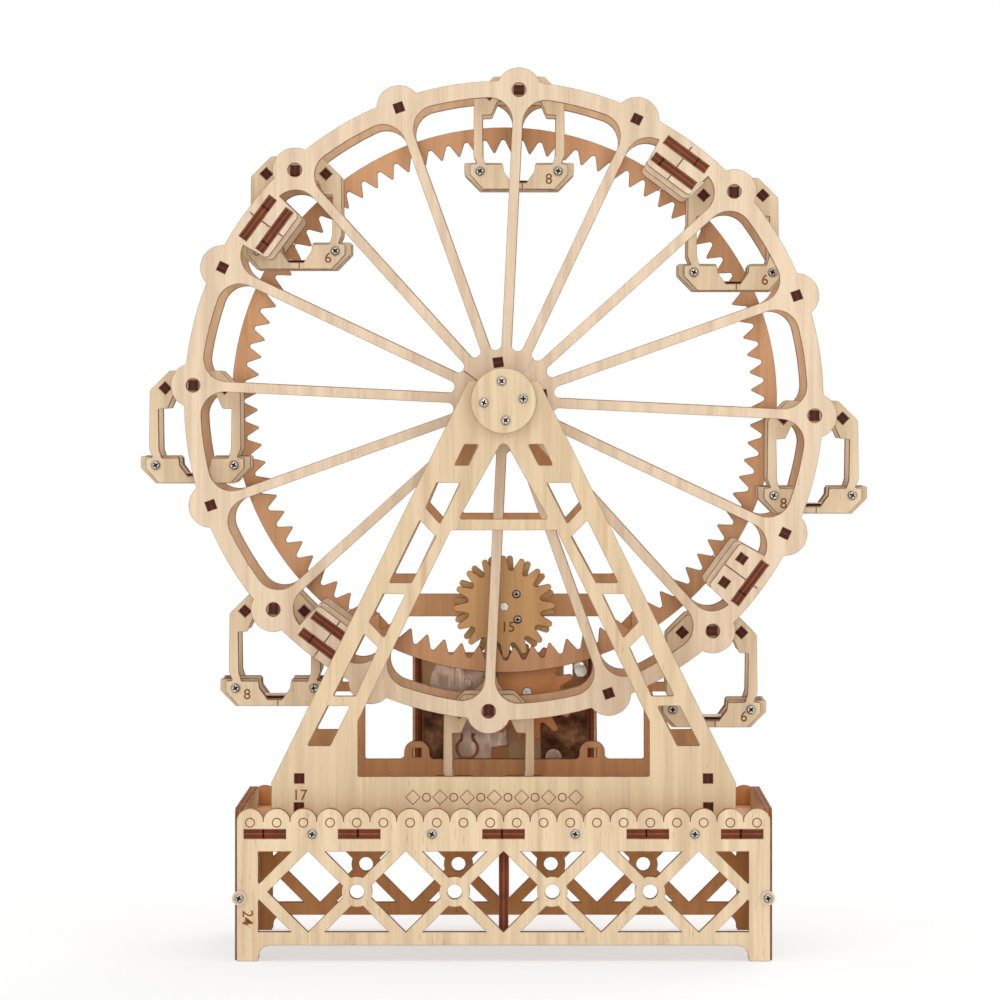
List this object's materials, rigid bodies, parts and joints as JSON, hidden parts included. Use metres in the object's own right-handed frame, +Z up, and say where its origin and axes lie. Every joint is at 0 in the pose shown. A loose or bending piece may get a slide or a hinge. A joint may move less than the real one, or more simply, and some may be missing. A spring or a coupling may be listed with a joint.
{
  "type": "hand cranked ferris wheel toy",
  "caption": "Laser-cut plywood ferris wheel on two braced towers, with hanging gondolas and an internal ring gear turned by a crank through pinions.",
  "frame": {"origin": "on the floor under the middle of the whole toy, crank included; the middle of the base lies 20 mm towards the front", "axes": "+X to the right seen from the front, +Y from the front to the crank, +Z up; the wheel turns about Y"},
  "size_m": [0.2322, 0.1318, 0.2809],
  "materials": {
    "birch_front": "raw birch plywood",
    "birch_rear": "raw birch plywood, scorched brown",
    "steel": "zinc plated",
    "brass": "aged"
  },
  "bodies": {
    "frame": {"base_front_panel": "birch_front", "base_rear_panel": "birch_rear", "base_end_panels": "birch_front", "base_deck": "birch_front", "base_centre_rib": "birch_rear", "base_bolts": "steel", "front_tower": "birch_front", "rear_tower": "birch_rear", "tower_ties": "birch_front", "housing_sides": "birch_rear", "movement_board": "birch_rear", "movement_front_plate": "steel", "movement_back_board": "birch_rear", "movement_pillars": "steel", "train_bridges": "brass"},
    "wheel": {"front_rim": "birch_front", "rear_rim": "birch_rear", "splice_doublers": "birch_front", "splice_keys": "birch_front", "wheel_ties": "birch_front", "hub_spacers": "birch_front", "hub_covers": "birch_front", "hub_bolts": "steel", "ring_gear": "birch_rear", "ring_gear_dowels": "birch_rear"},
    "pinion": {"drive_pinion": "birch_rear", "transfer_pinion": "birch_rear", "pinion_axle": "steel"},
    "crank": {"output_gear": "birch_rear", "crank_arbor": "steel", "great_wheel": "brass", "crank_arm": "birch_rear", "crank_pin": "steel"},
    "knob": {"crank_knob": "birch_front"},
    "second_arbor": {"second_wheel": "brass"},
    "fly": {"governor_fly": "brass"},
    "gondola_1": {"gondola_1_hangers": "birch_front", "gondola_1_tub": "birch_front", "gondola_1_screws": "steel"},
    "gondola_2": {"gondola_2_hangers": "birch_front", "gondola_2_tub": "birch_front", "gondola_2_screws": "steel"},
    "gondola_3": {"gondola_3_hangers": "birch_front", "gondola_3_tub": "birch_front", "gondola_3_screws": "steel"},
    "gondola_4": {"gondola_4_hangers": "birch_front", "gondola_4_tub": "birch_front", "gondola_4_screws": "steel"},
    "gondola_5": {"gondola_5_hangers": "birch_front", "gondola_5_tub": "birch_front", "gondola_5_screws": "steel"},
    "gondola_6": {"gondola_6_hangers": "birch_front", "gondola_6_tub": "birch_front", "gondola_6_screws": "steel"},
    "gondola_7": {"gondola_7_hangers": "birch_front", "gondola_7_tub": "birch_front", "gondola_7_screws": "steel"},
    "gondola_8": {"gondola_8_hangers": "birch_front", "gondola_8_tub": "birch_front", "gondola_8_screws": "steel"}
  },
  "joints": [
    {"name": "wheel_spin", "type": "hinge", "parent": "frame", "child": "wheel", "pos_m": [0, -0.02, 0.1752], "axis": [0, 1, 0], "continuous": true},
    {"name": "gondola_1_swing", "type": "hinge", "parent": "wheel", "child": "gondola_1", "pos_m": [0.00482, -0.02, 0.27383], "axis": [0, 1, 0], "continuous": true},
    {"name": "gondola_2_swing", "type": "hinge", "parent": "wheel", "child": "gondola_2", "pos_m": [0.07315, -0.02, 0.24153], "axis": [0, 1, 0], "continuous": true},
    {"name": "gondola_3_swing", "type": "hinge", "parent": "wheel", "child": "gondola_3", "pos_m": [0.09863, -0.02, 0.17038], "axis": [0, 1, 0], "continuous": true},
    {"name": "gondola_4_swing", "type": "hinge", "parent": "wheel", "child": "gondola_4", "pos_m": [0.06633, -0.02, 0.10205], "axis": [0, 1, 0], "continuous": true},
    {"name": "gondola_5_swing", "type": "hinge", "parent": "wheel", "child": "gondola_5", "pos_m": [-0.00482, -0.02, 0.07657], "axis": [0, 1, 0], "continuous": true},
    {"name": "gondola_6_swing", "type": "hinge", "parent": "wheel", "child": "gondola_6", "pos_m": [-0.07315, -0.02, 0.10887], "axis": [0, 1, 0], "continuous": true},
    {"name": "gondola_7_swing", "type": "hinge", "parent": "wheel", "child": "gondola_7", "pos_m": [-0.09863, -0.02, 0.18002], "axis": [0, 1, 0], "continuous": true},
    {"name": "gondola_8_swing", "type": "hinge", "parent": "wheel", "child": "gondola_8", "pos_m": [-0.06633, -0.02, 0.24835], "axis": [0, 1, 0], "continuous": true},
    {"name": "pinion_spin", "type": "hinge", "parent": "frame", "child": "pinion", "pos_m": [0, -0.02, 0.1077], "axis": [0, 1, 0], "continuous": true},
    {"name": "crank_turn", "type": "hinge", "parent": "frame", "child": "crank", "pos_m": [0.0074, -0.02, 0.0796], "axis": [0, 1, 0], "continuous": true},
    {"name": "knob_spin", "type": "hinge", "parent": "crank", "child": "knob", "pos_m": [0.0074, -0.02, 0.0496], "axis": [0, 1, 0], "continuous": true},
    {"name": "second_arbor_spin", "type": "hinge", "parent": "frame", "child": "second_arbor", "pos_m": [-0.00457, -0.02, 0.0716], "axis": [0, 1, 0], "continuous": true},
    {"name": "fly_spin", "type": "hinge", "parent": "frame", "child": "fly", "pos_m": [-0.01701, -0.02, 0.0703], "axis": [0, 1, 0], "continuous": true}
  ],
  "couplings": [
    {"joint": "gondola_1_swing", "follows": "wheel_spin", "ratio": -1},
    {"joint": "gondola_2_swing", "follows": "wheel_spin", "ratio": -1},
    {"joint": "gondola_3_swing", "follows": "wheel_spin", "ratio": -1},
    {"joint": "gondola_4_swing", "follows": "wheel_spin", "ratio": -1},
    {"joint": "gondola_5_swing", "follows": "wheel_spin", "ratio": -1},
    {"joint": "gondola_6_swing", "follows": "wheel_spin", "ratio": -1},
    {"joint": "gondola_7_swing", "follows": "wheel_spin", "ratio": -1},
    {"joint": "gondola_8_swing", "follows": "wheel_spin", "ratio": -1},
    {"joint": "pinion_spin", "follows": "wheel_spin", "ratio": 5.5},
    {"joint": "crank_turn", "follows": "wheel_spin", "ratio": -5.8667},
    {"joint": "second_arbor_spin", "follows": "wheel_spin", "ratio": 17.6},
    {"joint": "fly_spin", "follows": "wheel_spin", "ratio": -70.4}
  ]
}
